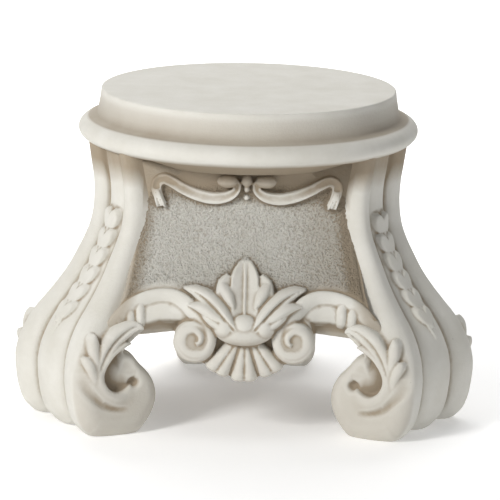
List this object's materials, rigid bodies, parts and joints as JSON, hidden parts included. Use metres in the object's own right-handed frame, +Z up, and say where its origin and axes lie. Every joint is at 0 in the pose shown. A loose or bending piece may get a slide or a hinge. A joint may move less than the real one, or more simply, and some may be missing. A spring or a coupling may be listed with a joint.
{
  "type": "rococo statue plinth",
  "caption": "Round-topped rococo plinth on scroll legs, with stippled waisted panels, ribbon swags, husk chains and a shell-and-acanthus cartouche, cast in one piece",
  "frame": {"origin": "centre of the bounding box's underside, on the floor the feet stand on; the plinth's own round axis stands 22.5 mm in front of it", "axes": "+Z is up, out of the round top; the front panel faces -Y; +X is to the right of someone facing the front panel"},
  "size_m": [0.4151, 0.3666, 0.29],
  "materials": {
    "cast_stone": "matte ivory cast resin stone with a faint beige wash in the recesses"
  },
  "bodies": {
    "root": {"rococo_plinth": "cast_stone"}
  },
  "joints": []
}
